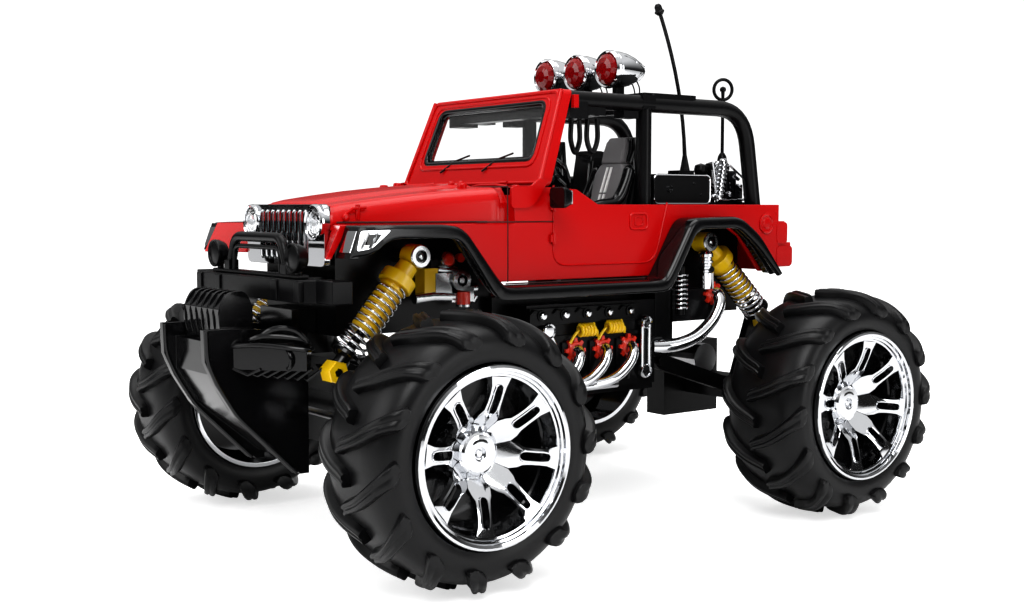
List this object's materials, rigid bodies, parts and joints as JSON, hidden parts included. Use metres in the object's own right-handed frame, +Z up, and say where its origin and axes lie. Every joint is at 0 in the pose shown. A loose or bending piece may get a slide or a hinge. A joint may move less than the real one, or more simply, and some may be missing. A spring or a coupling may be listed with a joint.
{
  "type": "remote control car",
  "caption": "Remote control monster truck with an open red off-road body, oversized ribbed tyres, sprung trailing-arm axles, roof lamps and a roll cage.",
  "frame": {"origin": "middle of the footprint on the ground, under the truck's centre plane", "axes": "+X towards the truck's left side, -Y towards its nose, +Z up"},
  "size_m": [0.295, 0.4082, 0.2979],
  "materials": {
    "red_paint": "glossy moulded",
    "black_plastic": "satin moulded",
    "tyre_rubber": "moulded rubber",
    "chrome": "vacuum plated",
    "yellow_plastic": "moulded",
    "seat_grey": "satin moulded",
    "clear": "clear",
    "red_lens": "clear tinted",
    "steel": "plain",
    "green_board": "coated",
    "blue_wrap": "shrink film"
  },
  "bodies": {
    "chassis": {"chassis_tray": "black_plastic", "battery_pack": "blue_wrap", "circuit_board": "green_board", "exhaust_left": "chrome", "exhaust_right": "chrome", "skid_plate": "black_plastic", "body_shell": "red_paint", "windshield_frame": "red_paint", "windshield_glass": "clear", "grille": "chrome", "headlight_lens_left": "clear", "headlight_lens_right": "clear", "front_bumper": "black_plastic", "brush_guard": "black_plastic", "fender_trim_left": "black_plastic", "fender_trim_right": "black_plastic", "cabin_floor": "black_plastic", "seat_left": "seat_grey", "seat_right": "seat_grey", "steering_wheel": "black_plastic", "mirror_left": "black_plastic", "mirror_right": "black_plastic", "roll_cage": "black_plastic", "roof_lamp_bar": "chrome", "roof_lens_left": "red_lens", "roof_lens_centre": "red_lens", "roof_lens_right": "red_lens", "cargo_box": "black_plastic", "antenna_whip": "black_plastic"},
    "front_axle": {"front_axle_beam": "black_plastic", "steering_servo": "black_plastic"},
    "rear_axle": {"rear_axle_housing": "black_plastic", "drive_motor": "steel"},
    "knuckle_left": {"knuckle_left": "black_plastic"},
    "knuckle_right": {"knuckle_right": "black_plastic"},
    "tie_rod": {"tie_rod": "steel"},
    "front_wheel_left": {"tyre_front_left": "tyre_rubber", "rim_front_left": "chrome"},
    "front_wheel_right": {"tyre_front_right": "tyre_rubber", "rim_front_right": "chrome"},
    "rear_wheels": {"axle_shaft": "steel", "tyre_rear_left": "tyre_rubber", "rim_rear_left": "chrome", "tyre_rear_right": "tyre_rubber", "rim_rear_right": "chrome"},
    "motor_pinion": {"motor_pinion": "steel"},
    "battery_door": {"battery_door": "black_plastic"},
    "power_switch": {"power_switch": "black_plastic"},
    "shock_body_front_left": {"shock_body_front_left": "yellow_plastic", "spring_front_left": "chrome"},
    "shock_rod_front_left": {"shock_rod_front_left": "yellow_plastic"},
    "shock_body_front_right": {"shock_body_front_right": "yellow_plastic", "spring_front_right": "chrome"},
    "shock_rod_front_right": {"shock_rod_front_right": "yellow_plastic"},
    "shock_body_rear_left": {"shock_body_rear_left": "yellow_plastic", "spring_rear_left": "chrome"},
    "shock_rod_rear_left": {"shock_rod_rear_left": "yellow_plastic"},
    "shock_body_rear_right": {"shock_body_rear_right": "yellow_plastic", "spring_rear_right": "chrome"},
    "shock_rod_rear_right": {"shock_rod_rear_right": "yellow_plastic"}
  },
  "joints": [
    {"name": "front_axle_swing", "type": "hinge", "parent": "chassis", "child": "front_axle", "pos_m": [0, -0.0556, 0.085], "axis": [-1, 0, 0], "range_deg": [0, 6], "stiffness_Nm_per_rad": 3.5, "springref_deg": -8.02},
    {"name": "rear_axle_swing", "type": "hinge", "parent": "chassis", "child": "rear_axle", "pos_m": [0, 0.0771, 0.085], "axis": [1, 0, 0], "range_deg": [0, 6], "stiffness_Nm_per_rad": 3.5, "springref_deg": -8.02},
    {"name": "steer_left", "type": "hinge", "parent": "front_axle", "child": "knuckle_left", "pos_m": [0.074, -0.1176, 0.065], "axis": [0, 0, 1], "range_deg": [-25, 25], "stiffness_Nm_per_rad": 0.15},
    {"name": "steer_right", "type": "hinge", "parent": "front_axle", "child": "knuckle_right", "pos_m": [-0.074, -0.1176, 0.065], "axis": [0, 0, 1], "range_deg": [-25, 25]},
    {"name": "tie_rod_slide", "type": "slide", "parent": "front_axle", "child": "tie_rod", "axis": [1, 0, 0], "range_m": [-0.0075, 0.0075]},
    {"name": "front_wheel_left_spin", "type": "hinge", "parent": "knuckle_left", "child": "front_wheel_left", "pos_m": [0.118, -0.1176, 0.065], "axis": [1, 0, 0], "continuous": true},
    {"name": "front_wheel_right_spin", "type": "hinge", "parent": "knuckle_right", "child": "front_wheel_right", "pos_m": [-0.118, -0.1176, 0.065], "axis": [1, 0, 0], "continuous": true},
    {"name": "rear_wheels_spin", "type": "hinge", "parent": "rear_axle", "child": "rear_wheels", "pos_m": [0, 0.1391, 0.065], "axis": [1, 0, 0], "continuous": true},
    {"name": "pinion_spin", "type": "hinge", "parent": "rear_axle", "child": "motor_pinion", "pos_m": [0, 0.12568, 0.08218], "axis": [1, 0, 0], "continuous": true},
    {"name": "shock_swing_front_left", "type": "hinge", "parent": "chassis", "child": "shock_body_front_left", "pos_m": [0.056, -0.1032, 0.152], "axis": [-1, 0, 0], "range_deg": [0, 4.6]},
    {"name": "shock_stroke_front_left", "type": "slide", "parent": "shock_body_front_left", "child": "shock_rod_front_left", "axis": [0, 0.6428, 0.766], "range_m": [0, 0.00849], "deforming": ["spring_front_left"]},
    {"name": "shock_swing_front_right", "type": "hinge", "parent": "chassis", "child": "shock_body_front_right", "pos_m": [-0.056, -0.1032, 0.152], "axis": [-1, 0, 0], "range_deg": [0, 4.6]},
    {"name": "shock_stroke_front_right", "type": "slide", "parent": "shock_body_front_right", "child": "shock_rod_front_right", "axis": [0, 0.6428, 0.766], "range_m": [0, 0.00849], "deforming": ["spring_front_right"]},
    {"name": "shock_swing_rear_left", "type": "hinge", "parent": "chassis", "child": "shock_body_rear_left", "pos_m": [0.056, 0.0997, 0.156], "axis": [1, 0, 0], "range_deg": [0, 3.5]},
    {"name": "shock_stroke_rear_left", "type": "slide", "parent": "shock_body_rear_left", "child": "shock_rod_rear_left", "axis": [0, -0.7314, 0.682], "range_m": [0, 0.00723], "deforming": ["spring_rear_left"]},
    {"name": "shock_swing_rear_right", "type": "hinge", "parent": "chassis", "child": "shock_body_rear_right", "pos_m": [-0.056, 0.0997, 0.156], "axis": [1, 0, 0], "range_deg": [0, 3.5]},
    {"name": "shock_stroke_rear_right", "type": "slide", "parent": "shock_body_rear_right", "child": "shock_rod_rear_right", "axis": [0, -0.7314, 0.682], "range_m": [0, 0.00723], "deforming": ["spring_rear_right"]},
    {"name": "battery_door_hinge", "type": "hinge", "parent": "chassis", "child": "battery_door", "pos_m": [0, -0.03075, 0.0703], "axis": [-1, 0, 0], "range_deg": [0, 80]},
    {"name": "power_switch_slide", "type": "slide", "parent": "chassis", "child": "power_switch", "axis": [0, 1, 0], "range_m": [0, 0.006]}
  ],
  "couplings": [
    {"joint": "steer_right", "follows": "steer_left", "ratio": 1},
    {"joint": "tie_rod_slide", "follows": "steer_left", "m_per_rad": 0.017},
    {"joint": "pinion_spin", "follows": "rear_wheels_spin", "ratio": -3},
    {"joint": "shock_swing_front_left", "follows": "front_axle_swing", "ratio": 0.7348},
    {"joint": "shock_stroke_front_left", "follows": "front_axle_swing", "m_per_rad": 0.08014},
    {"joint": "shock_swing_front_right", "follows": "front_axle_swing", "ratio": 0.7348},
    {"joint": "shock_stroke_front_right", "follows": "front_axle_swing", "m_per_rad": 0.08014},
    {"joint": "shock_swing_rear_left", "follows": "rear_axle_swing", "ratio": 0.5621},
    {"joint": "shock_stroke_rear_left", "follows": "rear_axle_swing", "m_per_rad": 0.06809},
    {"joint": "shock_swing_rear_right", "follows": "rear_axle_swing", "ratio": 0.5621},
    {"joint": "shock_stroke_rear_right", "follows": "rear_axle_swing", "m_per_rad": 0.06809}
  ]
}
